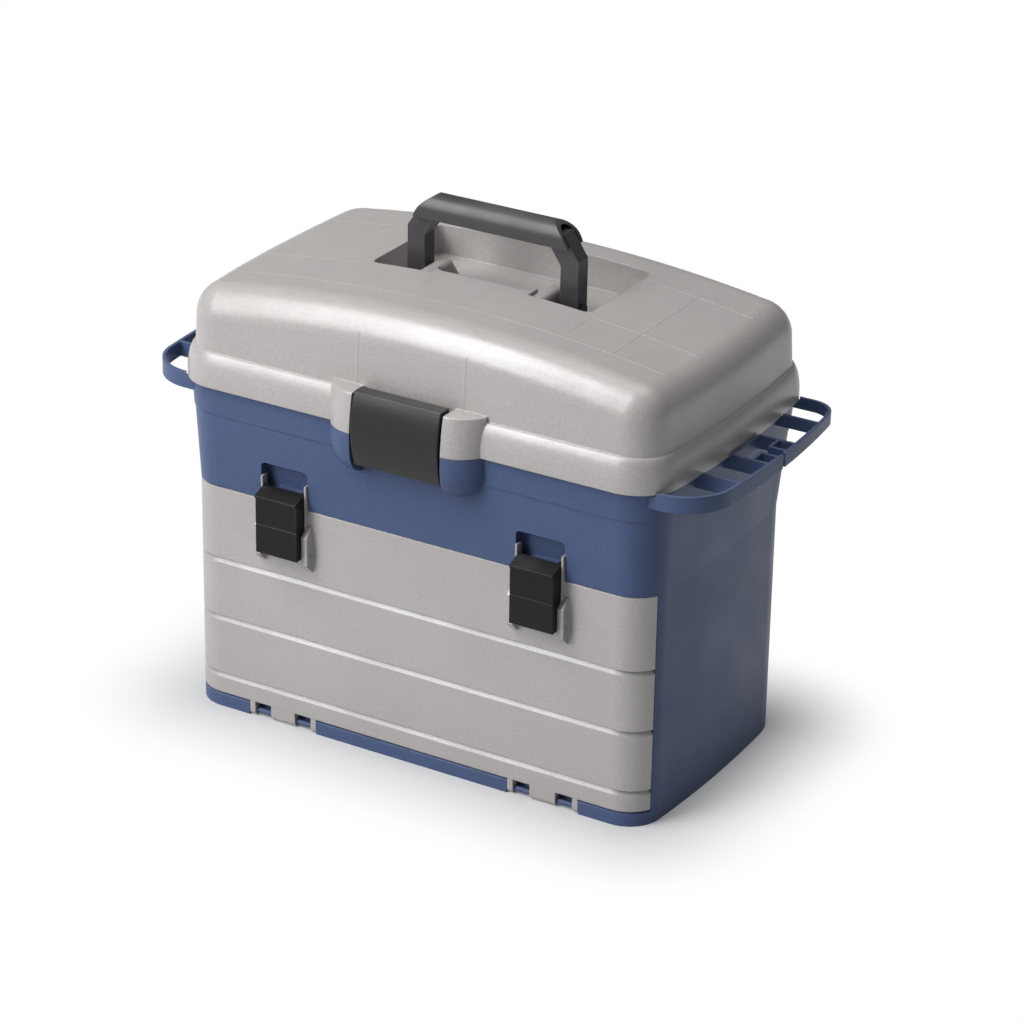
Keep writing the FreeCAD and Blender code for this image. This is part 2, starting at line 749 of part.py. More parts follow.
def lid_tub():
    """The handle recess: the case round it, and the space inside it."""
    wall = mm.tub_wall
    half = mm.tub_half_width
    tub_front = front + mm.tub_setback
    tub_rear = tub_front + mm.tub_depth
    high = mm.lid_crown_height + over
    space = block((-half, half), (tub_front, tub_rear), (mm.ledge_height, high))
    upright = edges_where(space, lambda box: box.ZLength > over)
    space = space.makeFillet(mm.tub_corner_radius, upright)
    well = finger_well()
    reach = well.BoundBox
    sill = block((-mm.tub_rib_inner, mm.tub_rib_inner),
                 (tub_front - over, tub_front + mm.finger_step + mm.finger_radius), (mm.finger_floor, high))
    space = space.cut(sill.cut(well)).fuse(well).cut(mirrored_pair(tub_rib()))
    case = block((-half - wall, half + wall), (tub_front - wall, tub_rear + wall),
                 (mm.ledge_height - wall, high))
    deep_case = block((reach.XMin - wall, reach.XMax + wall), (reach.YMin - wall, reach.YMax + wall),
                      (mm.finger_floor - wall, mm.ledge_height))
    return case.fuse(deep_case), space


def upper_boss():
    """The lid's right-hand boss, bowed outwards, with a flat top."""
    middle = (mm.lip_bottom + mm.pod_top) / 2
    bowed = (mm.pod_reach * 2 + mm.pod_top_reach) / 3
    boss = Part.makeLoft([pod_plan(mm.pod_reach, mm.pod_width, mm.lip_bottom),
                          pod_plan(bowed, mm.pod_width, middle),
                          pod_plan(mm.pod_top_reach, mm.pod_width, mm.pod_top)], True, False)
    top_edges = edges_where(boss, lambda box: box.ZMin > mm.pod_top - mm.joint_gap
                            and box.YMax < front)
    return boss.makeFillet(mm.pod_edge_radius, top_edges)


def lid_shell():
    """The hollow lid with its lip, latch pocket, bosses and handle recess."""
    dome = lid_dome(mm.lid_inset, 0, mm.lid_edge_radius)
    outer = dome.fuse(lid_lip())
    hollow_dome = lid_dome(mm.lid_inset + mm.lid_wall, mm.lid_wall, mm.lid_edge_radius - mm.lid_wall)
    lip_space_top = mm.lip_top - mm.lip_shoulder * 2 / 3
    lip_space = lip_plan.prism(mm.lid_wall, mm.lip_bottom, lip_space_top)
    body = outer.cut(hollow_dome.fuse(lip_space))
    flange_bottom = mm.rim_height + mm.joint_gap
    flange_top = flange_bottom + mm.lid_flange_thickness
    flange = lip_plan.prism(mm.lid_wall / 2, flange_bottom, flange_top)
    flange = flange.cut(lip_plan.prism(mm.lid_wall + mm.lid_flange, flange_bottom, flange_top))
    case, space = lid_tub()
    body = body.fuse([flange, case.common(outer)])
    body = body.cut(space)
    pocket_half = mm.pod_inner
    backing = block((-pocket_half - mm.lid_wall, pocket_half + mm.lid_wall),
                    (lip_front, front - mm.pocket_reach + mm.lid_wall),
                    (mm.pocket_bottom - mm.lid_wall, mm.lip_top))
    pocket = block((-pocket_half, pocket_half), (lip_front - over, front - mm.pocket_reach),
                   (mm.pocket_bottom, mm.pod_top + over))
    body = body.fuse(backing.common(outer)).cut(pocket)
    body = body.fuse(mirrored_pair(upper_boss().cut(hollow_dome.fuse(lip_space))))
    bearing = mm.pod_inner + mm.latch_pin_bearing
    body = body.cut(rod(mm.latch_pin_radius, (-bearing, bearing), latch_axis_y, mm.latch_axis_height))
    for side in (-1, 1):
        body = body.cut(rod(mm.handle_pin_radius, (side * mm.tub_rib_inner, side * mm.tub_rib_outer),
                            handle_axis_y, mm.handle_axis_height))
    for place in lid_hinge_sides:
        body = body.fuse(lid_knuckle(place))
    return body


def lid_knuckle(place):
    """One of the lid's knuckles, with its arm up to the lip."""
    x_range = (place - mm.lid_knuckle_half, place + mm.lid_knuckle_half)
    arm = block(x_range, (lip_rear - mm.lid_wall, lid_axis_y + mm.lid_knuckle_radius),
                (mm.lip_bottom, mm.lid_axis_height + mm.lid_arm_height))
    neck = block(x_range, (lip_rear, lid_axis_y + mm.lid_knuckle_radius), (mm.lid_axis_height, mm.lip_bottom))
    barrel = rod(mm.lid_knuckle_radius, x_range, lid_axis_y, mm.lid_axis_height)
    bore = rod(mm.lid_pin_radius + mm.fit_gap, x_range, lid_axis_y, mm.lid_axis_height)
    inside = lip_plan.prism(mm.lid_wall, mm.lip_bottom, mm.lip_top)
    return arm.cut(inside).fuse([neck, barrel]).cut(bore)


def panel_groove(height):
    """The step cut round the panel: flat above, sloping below."""
    outside = shell_plan.prism(-mm.groove_lip, height - mm.groove_height / 2, height + mm.groove_height / 2)
    slope = Part.makeLoft([shell_plan.wire(0, height - mm.groove_height / 2),
                           shell_plan.wire(mm.groove_depth, height + mm.groove_height / 2)], True, True)
    return outside.cut(slope)


def panel_knuckle(start, end):
    """One knuckle of the panel, round the hinge bar."""
    back = front + mm.panel_wall + mm.panel_foot_flange
    leg = block((start, end), (hinge_axis_y - mm.knuckle_radius, back),
                (mm.hinge_axis_height, panel_bottom + mm.panel_flange_thickness))
    barrel = rod(mm.knuckle_radius, (start, end), hinge_axis_y, mm.hinge_axis_height)
    bore = rod(mm.hinge_bar_radius + mm.fit_gap, (start, end), hinge_axis_y, mm.hinge_axis_height)
    return leg.fuse(barrel).cut(bore)


def latch_seat(place, side):
    """The ear, cheek and pin bearing on one side of a panel latch."""
    inner = place + side * (mm.clip_half_width + mm.clip_side_gap)
    ear_outer = inner + side * mm.ear_thickness
    cheek_outer = inner + side * mm.cheek_thickness
    ear = block((inner, ear_outer), (front - mm.ear_reach, front + mm.panel_wall / 2),
                (mm.ear_bottom, mm.ear_top))
    point = edges_where(ear, lambda box: box.ZLength < mm.joint_gap and box.YMax < front
                        and box.XLength > mm.joint_gap)
    ear = ear.makeChamfer(mm.ear_point, point)
    cheek = block((inner, cheek_outer), (front - mm.cheek_reach, front + mm.panel_wall),
                  (mm.ear_top - mm.ear_point * 2, mm.cheek_top))
    return ear.fuse(cheek)


def front_panel():
    """The drop-down front that covers the drawers and wraps both corners."""
    depth = (front - over, front + mm.panel_return - mm.panel_gap)
    zone = block((-far, far), depth, (panel_bottom, mm.panel_top))
    skin = shell_plan.prism(0, panel_bottom, mm.panel_top).common(zone)
    room = shell_plan.prism(mm.panel_wall, panel_bottom, mm.panel_top)
    panel = skin.cut(room)
    for low, reach in ((panel_bottom, mm.panel_foot_flange),
                       (mm.panel_top - mm.panel_flange_thickness, mm.panel_flange)):
        strip = block((-far, far), (front, front + mm.panel_wall + reach),
                      (low, low + mm.panel_flange_thickness))
        panel = panel.fuse(strip.common(skin))
    for place in latch_sides:
        half = mm.clip_half_width + mm.clip_side_gap
        tongue = block((place - half, place + half),
                       (front, front + mm.tongue_thickness),
                       (mm.panel_top - mm.panel_flange, mm.tongue_top))
        room_for_catch = block((place - mm.catch_half_width - mm.joint_gap,
                                place + mm.catch_half_width + mm.joint_gap),
                               (front + mm.recess_depth - mm.catch_thickness - mm.joint_gap, front + over),
                               (mm.panel_top, mm.tongue_top))
        seats = [latch_seat(place, -1), latch_seat(place, 1)]
        panel = panel.fuse([tongue.cut(room_for_catch)] + seats)
        bearing = mm.clip_half_width + mm.clip_side_gap + mm.ear_thickness
        panel = panel.cut(rod(mm.clip_pin_radius, (place - bearing, place + bearing),
                              front - mm.clip_axis_reach, mm.clip_axis_height))
    for number in range(GROOVE_COUNT):
        panel = panel.cut(panel_groove(mm.groove_low + number * mm.groove_pitch))
    for place in hinge_sides:
        outer = mm.hinge_half_span
        spans = [(-outer, mm.hinge_tab - outer), (-mm.hinge_block / 2, mm.hinge_block / 2),
                 (outer - mm.hinge_tab, outer)]
        for start, end in spans:
            panel = panel.fuse(panel_knuckle(place + start, place + end))
    return panel


def lid_latch():
    """The wide latch that hangs on the lid and closes over the catch rib."""
    body = doc.addObject("PartDesign::Body", "LidLatch")
    face = front - mm.latch_reach
    cheek = face + mm.latch_cheek_depth
    hook = front - mm.rib_catch_reach - mm.joint_gap
    hood = face + mm.latch_hood_depth
    axis = latch_axis_y
    barrel_bottom = mm.latch_top - mm.latch_barrel
    middle = (mm.latch_top + mm.latch_bottom) / 2
    crest = face - mm.latch_bulge
    chamfer = mm.latch_plate / 2
    points = [(face, mm.latch_bottom), (cheek, mm.latch_bottom), (hook, mm.latch_bottom + chamfer),
              (hook, mm.latch_hook_top - chamfer), (cheek, mm.latch_hook_top),
              (cheek, barrel_bottom), (axis + mm.latch_axis_reach / 4, barrel_bottom),
              (hood, barrel_bottom + chamfer * 2), (hood, mm.latch_top), (face, mm.latch_top)]
    lines = polygon(points)
    lines[-1] = Part.Arc(Vector(face, mm.latch_top, 0), Vector(crest, middle, 0),
                         Vector(face, mm.latch_bottom, 0))
    profile = sketch_on(body, "LidLatchProfile", "YZ_Plane", lines)
    feature_on(body, "Pad", "LidLatchPad", profile, "2 * latch_half_width")
    inner = face + mm.latch_plate
    room = [(inner, mm.latch_hook_top), (cheek + over, mm.latch_hook_top),
            (cheek + over, barrel_bottom), (inner, barrel_bottom)]
    room_lines = polygon(room)
    room_lines[-1] = Part.Arc(Vector(inner, barrel_bottom, 0), Vector(crest + mm.latch_plate, middle, 0),
                              Vector(inner, mm.latch_hook_top, 0))
    hollow = sketch_on(body, "LidLatchHollow", "YZ_Plane", room_lines)
    feature_on(body, "Pocket", "LidLatchRoom", hollow, "2 * latch_half_width - 2 * latch_cheek")
    circle = Part.Circle(Vector(axis, mm.latch_axis_height, 0), Vector(0, 0, 1),
                         mm.latch_pin_radius + mm.fit_gap)
    bore = sketch_on(body, "LidLatchBore", "YZ_Plane", [circle])
    feature_on(body, "Pocket", "LidLatchBoreCut", bore, "4 * latch_half_width")
    doc.recompute()
    add_fillet(body, "LidLatchEdges", "latch_edge_fillet",
               lambda box: box.YMax < face + mm.joint_gap and (
                   box.XLength > mm.latch_half_width or box.ZLength > mm.latch_barrel * 2))
    return keep("lid_latch", body)


def add_fillet(body, name, radius, test):
    """Rounds the edges of a body's tip that pass a test on their bounds."""
    tip = body.Tip
    names = []
    for number, edge in enumerate(tip.Shape.Edges, start=1):
        if test(edge.BoundBox):
            names.append("Edge%d" % number)
    fillet = body.newObject("PartDesign::Fillet", name)
    fillet.Base = (tip, names)
    fillet.setExpression("Radius", bound(radius))
    doc.recompute()
    return fillet


def panel_latch(label, place):
    """A panel latch that turns on a pin between the panel's ears."""
    body = doc.addObject("PartDesign::Body", label.title().replace("_", ""))
    face = front - mm.clip_reach
    back = front - mm.clip_back_gap
    axis = front - mm.clip_axis_reach
    crest = front - mm.clip_crest_reach
    heel = mm.clip_heel_radius
    low = mm.clip_axis_height
    lip = face - mm.clip_lip
    points = [(axis, low - heel), (face, mm.clip_bottom), (face, mm.clip_split - mm.clip_split_width / 2),
              (face + mm.clip_split_depth, mm.clip_split),
              (face, mm.clip_split + mm.clip_split_width / 2), (face, mm.clip_top - mm.clip_lip_height),
              (lip, mm.clip_top - mm.clip_lip), (lip, mm.clip_top), (crest, mm.clip_crest),
              (back, mm.clip_crest), (back, low + heel * 2), (axis + heel, low)]
    lines = polygon(points)
    lines[-1] = Part.Arc(Vector(axis + heel, low, 0),
                         Vector(axis + heel * math.sqrt(0.5), low - heel * math.sqrt(0.5), 0),
                         Vector(axis, low - heel, 0))
    profile = sketch_on(body, "Profile", "YZ_Plane", lines)
    feature_on(body, "Pad", "Pad", profile, "2 * clip_half_width")
    inner = face + mm.clip_plate
    room = polygon([(inner, low + heel * 2), (back + over, low + heel * 2),
                    (back + over, mm.clip_top - mm.clip_plate), (inner, mm.clip_top - mm.clip_plate)])
    hollow = sketch_on(body, "Hollow", "YZ_Plane", room)
    feature_on(body, "Pocket", "Room", hollow, "2 * clip_half_width - 2 * clip_cheek")
    circle = Part.Circle(Vector(axis, low, 0), Vector(0, 0, 1), mm.clip_pin_radius + mm.fit_gap)
    bore = sketch_on(body, "Bore", "YZ_Plane", [circle])
    feature_on(body, "Pocket", "BoreCut", bore, "4 * clip_half_width")
    doc.recompute()
    add_fillet(body, "Edges", "clip_edge_fillet",
               lambda box: box.YMax < face + mm.joint_gap and box.XLength > mm.clip_half_width
               and (box.ZMin > mm.clip_top - mm.clip_lip - mm.joint_gap or box.ZMax < mm.clip_bottom
                    + mm.joint_gap))
    body.Placement = Placement(Vector(place, 0, 0), Rotation())
    return keep(label, body)


def handle_leg_points():
    """The right leg, seen from the front: straight foot, knee, leaning top."""
    foot = mm.handle_axis_height - mm.leg_foot
    knee = mm.knee_height
    outer_knee = knee + mm.knee_stagger
    slope = mm.leg_lean / (mm.leg_top - knee)
    outer_lean = (mm.leg_top - outer_knee) * slope
    return [(mm.leg_inner, foot), (mm.leg_outer, foot), (mm.leg_outer, outer_knee),
            (mm.leg_outer - outer_lean, mm.leg_top), (mm.leg_inner - mm.leg_lean, mm.leg_top),
            (mm.leg_inner, knee)]


def leg_key_points():
    """The block that joins the right leg's top to both walls of the grip."""
    inner = mm.leg_inner - mm.leg_lean
    low = mm.leg_top - mm.leg_key_height
    return [(inner, low), (inner + mm.leg_key_width, low), (inner + mm.leg_key_width, mm.leg_top),
            (inner, mm.leg_top)]


def add_to_legs(body, name, points, depth):
    """Pads a shape and its mirror image, centred on the handle's axis."""
    outline = polygon(points) + polygon([(-across, up) for across, up in points])
    sketch = sketch_on(body, name, "XZ_Plane", outline)
    sketch.AttachmentOffset = Placement(Vector(0, 0, -handle_axis_y), Rotation())
    feature_on(body, "Pad", name + "Pad", sketch, depth)


def grip_end(side):
    """The sketch lines that trim one end of the grip to a bowed slant."""
    start = Vector(mm.grip_top_half_length * side, mm.grip_top, 0)
    tip = Vector(mm.grip_half_length * side, mm.grip_tip_height, 0)
    chord = tip - start
    outward = Vector(-chord.y * side, chord.x * side, 0)
    outward.normalize()
    bowed = (start + tip) / 2 + outward * mm.grip_end_bulge
    beyond = (mm.grip_half_length + over) * side
    low = Vector(beyond, mm.grip_tip_height, 0)
    high = Vector(beyond, mm.grip_top + over, 0)
    inner = Vector(start.x, high.y, 0)
    return [Part.Arc(start, bowed, tip), Part.LineSegment(tip, low), Part.LineSegment(low, high),
            Part.LineSegment(high, inner), Part.LineSegment(inner, start)]


def carry_handle():
    """The one-piece handle: a half-round grip on two cranked legs."""
    body = doc.addObject("PartDesign::Body", "CarryHandle")
    half = mm.grip_width / 2
    spring = mm.grip_top - half
    inner = half - mm.grip_wall
    middle = handle_axis_y
    low = mm.grip_bottom
    corners = [Vector(middle - half, low, 0), Vector(middle - half, spring, 0),
               Vector(middle + half, spring, 0), Vector(middle + half, low, 0),
               Vector(middle + inner, low, 0), Vector(middle + inner, spring, 0),
               Vector(middle - inner, spring, 0), Vector(middle - inner, low, 0)]
    channel = [
        Part.LineSegment(corners[0], corners[1]),
        Part.Arc(corners[1], Vector(middle, mm.grip_top, 0), corners[2]),
        Part.LineSegment(corners[2], corners[3]),
        Part.LineSegment(corners[3], corners[4]),
        Part.LineSegment(corners[4], corners[5]),
        Part.Arc(corners[5], Vector(middle, spring + inner, 0), corners[6]),
        Part.LineSegment(corners[6], corners[7]),
        Part.LineSegment(corners[7], corners[0]),
    ]
    section = sketch_on(body, "GripSection", "YZ_Plane", channel)
    feature_on(body, "Pad", "Grip", section, "2 * grip_half_length")
    slant = sketch_on(body, "SlantedEnds", "XZ_Plane", grip_end(1) + grip_end(-1))
    feature_on(body, "Pocket", "SlantCut", slant, "4 * handle_setback")
    add_to_legs(body, "Keys", leg_key_points(), "grip_width - grip_wall")
    add_to_legs(body, "Legs", handle_leg_points(), "leg_thickness")
    circle = Part.Circle(Vector(handle_axis_y, mm.handle_axis_height, 0), Vector(0, 0, 1),
                         mm.handle_pin_radius + mm.fit_gap)
    bore = sketch_on(body, "PivotBore", "YZ_Plane", [circle])
    feature_on(body, "Pocket", "PivotCut", bore, "4 * leg_outer")
    doc.recompute()
    foot = mm.handle_axis_height - mm.leg_foot
    add_fillet(body, "FootEdges", "leg_foot_fillet",
               lambda box: box.ZMax < foot + mm.joint_gap and box.YLength < mm.joint_gap)
    return keep("carry_handle", body)


def pivot_pins():
    """The pins of the handle, the latches and the lid."""
    for label, side in (("handle_pivot_left", -1), ("handle_pivot_right", 1)):
        start = mm.tub_rib_inner if side > 0 else -mm.leg_outer - mm.clip_side_gap
        shank = add_cylinder(label + "_shank", "handle_pin_radius",
                             "leg_outer + clip_side_gap - tub_rib_inner",
                             Vector(start, handle_axis_y, mm.handle_axis_height))
        tip = mm.leg_outer + mm.clip_side_gap
        head_start = tip if side > 0 else -tip - mm.handle_pin_head_height
        head = add_cylinder(label + "_head", "handle_pin_head", "handle_pin_head_height",
                            Vector(head_start, handle_axis_y, mm.handle_axis_height))
        keep(label, add_boolean("MultiFuse", label, [shank, head]))
    reach = mm.pod_inner + mm.latch_pin_bearing
    keep("lid_latch_pin", add_cylinder("lid_latch_pin", "latch_pin_radius",
                                       "2 * pod_inner + 2 * latch_pin_bearing",
                                       Vector(-reach, latch_axis_y, mm.latch_axis_height)))
    reach = mm.clip_half_width + mm.clip_side_gap + mm.ear_thickness
    for label, place in zip(("panel_latch_pin_left", "panel_latch_pin_right"), latch_sides):
        keep(label, add_cylinder(label, "clip_pin_radius",
                                 "2 * clip_half_width + 2 * clip_side_gap + 2 * ear_thickness",
                                 Vector(place - reach, front - mm.clip_axis_reach, mm.clip_axis_height)))
    reach = mm.lid_knuckle_half + mm.joint_gap + mm.lid_knuckle_arm
    for label, place in zip(("lid_hinge_pin_left", "lid_hinge_pin_right"), lid_hinge_sides):
        keep(label, add_cylinder(label, "lid_pin_radius",
                                 "2 * lid_knuckle_half + 2 * joint_gap + 2 * lid_knuckle_arm",
                                 Vector(place - reach, lid_axis_y, mm.lid_axis_height)))


def drawer_bottom(number):
    """The height of a drawer's underside, counted from the top drawer."""
    level = DRAWER_COUNT - 1 - number
    return mm.sill_height + mm.drawer_foot_gap + level * mm.drawer_pitch


def round_upright(label, base, radius):
    """A fillet on the four upright edges of a box."""
    doc.recompute()
    rounded = doc.addObject("Part::Fillet", label)
    rounded.Base = base
    rounded.Edges = [(count, radius, radius) for count, edge in enumerate(base.Shape.Edges, start=1)
                     if edge.BoundBox.ZLength > radius]
    return rounded


def drawer(number):
    """One tray with side flanges, a web along its middle and a pull."""
    name = "drawer_%d" % (number + 1)
    low = drawer_bottom(number)
    start = front + mm.drawer_setback
    half = mm.drawer_half_width
    wall = mm.drawer_wall
    case = add_box(name + "_case", "2 * drawer_half_width", "drawer_depth", "drawer_height",
                   Vector(-half, start, low))
    rounded = round_upright(name + "_rounded", case, mm.drawer_radius)
    flange_low = low + mm.drawer_height - mm.drawer_flange_thickness
    flange = add_box(name + "_flange", "2 * drawer_half_width + 2 * drawer_flange",
                     "drawer_depth - 4 * drawer_radius", "drawer_flange_thickness",
                     Vector(-half - mm.drawer_flange, start + 2 * mm.drawer_radius, flange_low))
    room = add_box(name + "_room", "2 * drawer_half_width - 2 * drawer_wall",
                   "drawer_depth - 2 * drawer_wall", "drawer_height",
                   Vector(wall - half, start + wall, low + wall))
    inside = round_upright(name + "_inside", room, mm.drawer_radius - wall)
    web_y = start + mm.drawer_depth / 2
    web = add_box(name + "_web", "2 * drawer_half_width - drawer_wall", "drawer_web",
                  "drawer_height - divider_drop - drawer_wall / 2",
                  Vector(wall / 2 - half, web_y - mm.drawer_web / 2, low + wall / 2))
    pull = add_box(name + "_pull", "2 * pull_half_width", "pull_reach + drawer_wall / 2", "pull_height",
                   Vector(-mm.pull_half_width, start - mm.pull_reach,
                          low + mm.drawer_height - mm.pull_drop - mm.pull_height))
    scoop = add_box(name + "_scoop", "2 * pull_half_width - 2 * drawer_wall", "pull_reach - drawer_wall",
                    "pull_height - drawer_wall",
                    Vector(wall - mm.pull_half_width, start - mm.pull_reach + wall,
                           low + mm.drawer_height - mm.pull_drop - mm.pull_height))
    outer = add_boolean("MultiFuse", name + "_outer", [rounded, flange])
    tray = add_boolean("Cut", name + "_tray", [outer, inside])
    grip = add_boolean("Cut", name + "_grip", [pull, scoop])
    return keep(name, add_boolean("MultiFuse", name, [tray, web, grip]))


def drawer_dividers(number):
    """The loose dividers in the front row of one drawer."""
    name = "dividers_%d" % (number + 1)
    low = drawer_bottom(number) + mm.drawer_wall
    start = front + mm.drawer_setback + mm.drawer_wall + mm.divider_gap
    end = front + mm.drawer_setback + mm.drawer_depth / 2 - mm.drawer_web / 2 - mm.divider_gap
    height = mm.drawer_height - mm.drawer_wall - mm.divider_drop
    plates = []
    for share in DIVIDER_SHARES:
        place = 2 * mm.drawer_half_width * share - mm.drawer_half_width
        plates.append(block((place, place + mm.divider_thickness), (start, end), (low, low + height)))
    return add_shape(name, Part.makeCompound(plates))


def runner_frame(label, side):
    """The liner on one side wall of the bay, with a ledge for each drawer."""
    start = front + mm.runner_start
    y_range = (start, start + mm.runner_length)
    z_range = (mm.sill_height, mm.bay_height)
    plate = block((side * mm.runner_face, side * (mm.runner_face + mm.runner_plate)), y_range, z_range)
    pieces = []
    for number in range(DRAWER_COUNT):
        top = (drawer_bottom(number) + mm.drawer_height - mm.drawer_flange_thickness - mm.joint_gap)
        pieces.append(block((side * mm.runner_face, side * (mm.runner_face - mm.runner_ledge)), y_range,
                            (top - mm.runner_ledge_thickness, top)))
    for share in SPACER_SHARES:
        place = start + share * mm.runner_length
        pieces.append(block((side * mm.runner_face, side * far), (place, place + mm.runner_spacer), z_range))
    frame = plate.fuse(pieces).common(shell_plan.prism(mm.shell_wall, mm.sill_height, mm.bay_height))
    return add_shape(label, frame)


def check_document():
    """Stops the script when an object failed or a sub-part has no valid shape."""
    doc.recompute()
    for item in doc.Objects:
        if "Invalid" in item.State or "Error" in item.State:
            raise RuntimeError("%s failed: %s" % (item.Label, item.State))
    for item in sub_parts:
        if item.Shape.isNull() or not item.Shape.isValid():
            raise RuntimeError("%s has no valid shape" % item.Label)


def write_parts():
    """Writes each sub-part to its own STEP file."""
    os.makedirs("parts", exist_ok=True)
    for item in sub_parts:
        item.Shape.exportStep("parts/%s.step" % item.Label)
        box = item.Shape.BoundBox
        print("%-24s solids %2d volume %9.0f  X %.1f..%.1f Y %.1f..%.1f Z %.1f..%.1f" % (
            item.Label, len(item.Shape.Solids), item.Shape.Volume, box.XMin, box.XMax, box.YMin, box.YMax,
            box.ZMin, box.ZMax))


add_shape("cabinet_shell", cabinet_shell())
right_rack = tool_rack()
add_shape("tool_rack_right", right_rack)
add_shape("tool_rack_left", right_rack.mirror(Vector(0, 0, 0), Vector(1, 0, 0)))
add_shape("lid_shell", lid_shell())
add_shape("front_panel", front_panel())
lid_latch()
panel_latch("panel_latch_left", latch_sides[0])
panel_latch("panel_latch_right", latch_sides[1])
carry_handle()
pivot_pins()
runner_frame("runner_frame_left", -1)
runner_frame("runner_frame_right", 1)
for drawer_number in range(DRAWER_COUNT):
    drawer(drawer_number)
    drawer_dividers(drawer_number)
check_document()
write_parts()
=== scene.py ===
import json
import math
import bpy
from mathutils import Matrix, Vector
from mathutils.bvhtree import BVHTree


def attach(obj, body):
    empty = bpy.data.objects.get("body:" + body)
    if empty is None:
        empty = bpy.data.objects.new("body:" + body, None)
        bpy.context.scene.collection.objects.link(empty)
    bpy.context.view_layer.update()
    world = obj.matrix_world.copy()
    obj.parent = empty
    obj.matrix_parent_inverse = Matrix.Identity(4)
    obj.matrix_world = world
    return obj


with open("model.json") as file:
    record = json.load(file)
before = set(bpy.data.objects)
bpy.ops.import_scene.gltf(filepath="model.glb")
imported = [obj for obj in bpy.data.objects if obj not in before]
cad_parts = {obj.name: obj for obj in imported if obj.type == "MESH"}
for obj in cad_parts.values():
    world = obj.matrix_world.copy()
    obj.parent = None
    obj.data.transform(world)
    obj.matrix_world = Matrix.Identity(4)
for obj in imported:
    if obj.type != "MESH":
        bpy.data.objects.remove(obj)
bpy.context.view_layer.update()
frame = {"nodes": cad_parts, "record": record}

# Viewing angle and framing of the photograph, in degrees and metres
VIEW_AZIMUTH = 30.496
VIEW_ELEVATION = 24.875
VIEW_ROLL = 0.987
VIEW_DISTANCE = 3.021
VIEW_TARGET = Vector((0, 0.0379, 0.157))
VIEW_END = 50
LENS_MM = 133.98
SENSOR_MM = 36

# Surface colours as they look in plain light, in sRGB shares; the handle's and the panel latches' blacks
# hold painted light and painted shade
GREY = (0.625, 0.610, 0.605)
GREY_SHADE = (0.607, 0.592, 0.586)
BLUE = (0.272, 0.330, 0.465)
BLUE_SHADE = (0.260, 0.318, 0.450)
BLACK = (0.122, 0.120, 0.127)
BLACK_SHADE = (0.108, 0.107, 0.114)
# The black plastic painted lighter for the handle: painted light
HANDLE_PAINTED_LIGHT = (0.215, 0.208, 0.224)
HANDLE_PAINTED_LIGHT_TONE = (0.195, 0.189, 0.205)
# The black plastic painted darker for the panel latches: painted shade
PANEL_LATCH_PAINTED_SHADE = (0.102, 0.100, 0.104)
PANEL_LATCH_PAINTED_SHADE_TONE = (0.092, 0.090, 0.094)
TRAY = (0.70, 0.70, 0.68)
TRAY_SHADE = (0.66, 0.66, 0.64)
AMBER = (0.66, 0.43, 0.14)
AMBER_SHADE = (0.60, 0.38, 0.12)
STEEL = (0.62, 0.62, 0.64)
STEEL_SHADE_SHARE = 0.8
DUST = (0.72, 0.71, 0.69)

# Rays that find the soft edges at each point
BEVEL_SAMPLES = 4

# How the grain, the drift of tone, the worn edges with painted highlight and the dust are spread, in metres
# and shares
PITS_PER_GRAIN = 1.4
FINE_SHARE = 0.7
PIT_SHARE = 0.3
FLOW_SIZE = 0.07
# The edge mask pales edges for handling and also as painted highlight
WEAR_AND_HIGHLIGHT_WIDTH = 0.0016
WEAR_AND_HIGHLIGHT_PATCH = 0.02
DUST_PATCH = 0.05
SPECKLE_RANGE = (0.93, 1.03)
PALED_SHARE = 0.35
ROUGH_DRIFT = (0.05, -0.04)
WEAR_POLISH = 0.12
DUST_DULLING = 0.3

# Drawn wire: scratches to a metre in X, Y and Z, and the range of its roughness
SCRATCH_SCALE = (4000, 120, 120)
STEEL_ROUGHNESS = (0.28, 0.42)

# Faint moulded lines on the lid, as ends in X and Y, or as X and two heights, in metres
LINE_WIDTH = 0.0030
LINE_HEIGHT = 0.00030
LINE_SAMPLES = 90
LINE_PROFILE_SHARES = [(-0.5, -0.5), (-0.3, 0.35), (0.0, 1.0), (0.3, 0.35), (0.5, -0.5)]
PROBE_START = 1
TOP_LINES = [
    ((-0.192, -0.067), (0.192, -0.067)),
    ((-0.192, -0.022), (-0.101, -0.022)),
    ((0.101, -0.022), (0.192, -0.022)),
    ((-0.192, 0.066), (-0.101, 0.066)),
    ((0.101, 0.066), (0.192, 0.066)),
    ((-0.101, -0.067), (-0.101, -0.022)),
    ((0.101, -0.067), (0.101, -0.022)),
    ((-0.144, -0.067), (-0.144, 0.066)),
    ((0.144, -0.067), (0.144, 0.066)),
]
FRONT_LINES = [(-0.047, 0.312, 0.352), (0.047, 0.312, 0.352)]

# The floor, and how far from a rectangle inside the cabinet's foot it turns white, in metres
FLOOR_RADIUS = 8
FLOOR_CORNERS = 96
FLOOR_COLOUR = (0.52, 0.52, 0.53, 1)
FLOOR_ROUGHNESS = 0.7
FLOOR_GLOSS = 0.2
FOOT_CORE_HALF_SIZES = (("X", 0.185), ("Y", 0.09))
FADE_RANGE = (-0.01, 0.13)

# Studio lamps: direction, distance and size in metres, power in watts
LAMP_AIM = Vector((0, 0, 0.2))
SOFTBOXES = [
    ("key_softbox", (-0.38, -0.46, 0.80), 2.6, 1.6, 58),
    ("low_softbox", (-0.46, -0.78, 0.43), 2.6, 1.3, 35),
    ("top_softbox", (0.05, 0.15, 1.0), 2.4, 1.4, 15),
]
SURROUND_LEVEL = 0.22
WHITE = (1, 1, 1, 1)


def linear(colour):
    """Turns an sRGB colour into the linear colour that a shader takes."""
    channels = [c / 12.92 if c <= 0.04045 else ((c + 0.055) / 1.055) ** 2.4 for c in colour]
    return (*channels, 1.0)


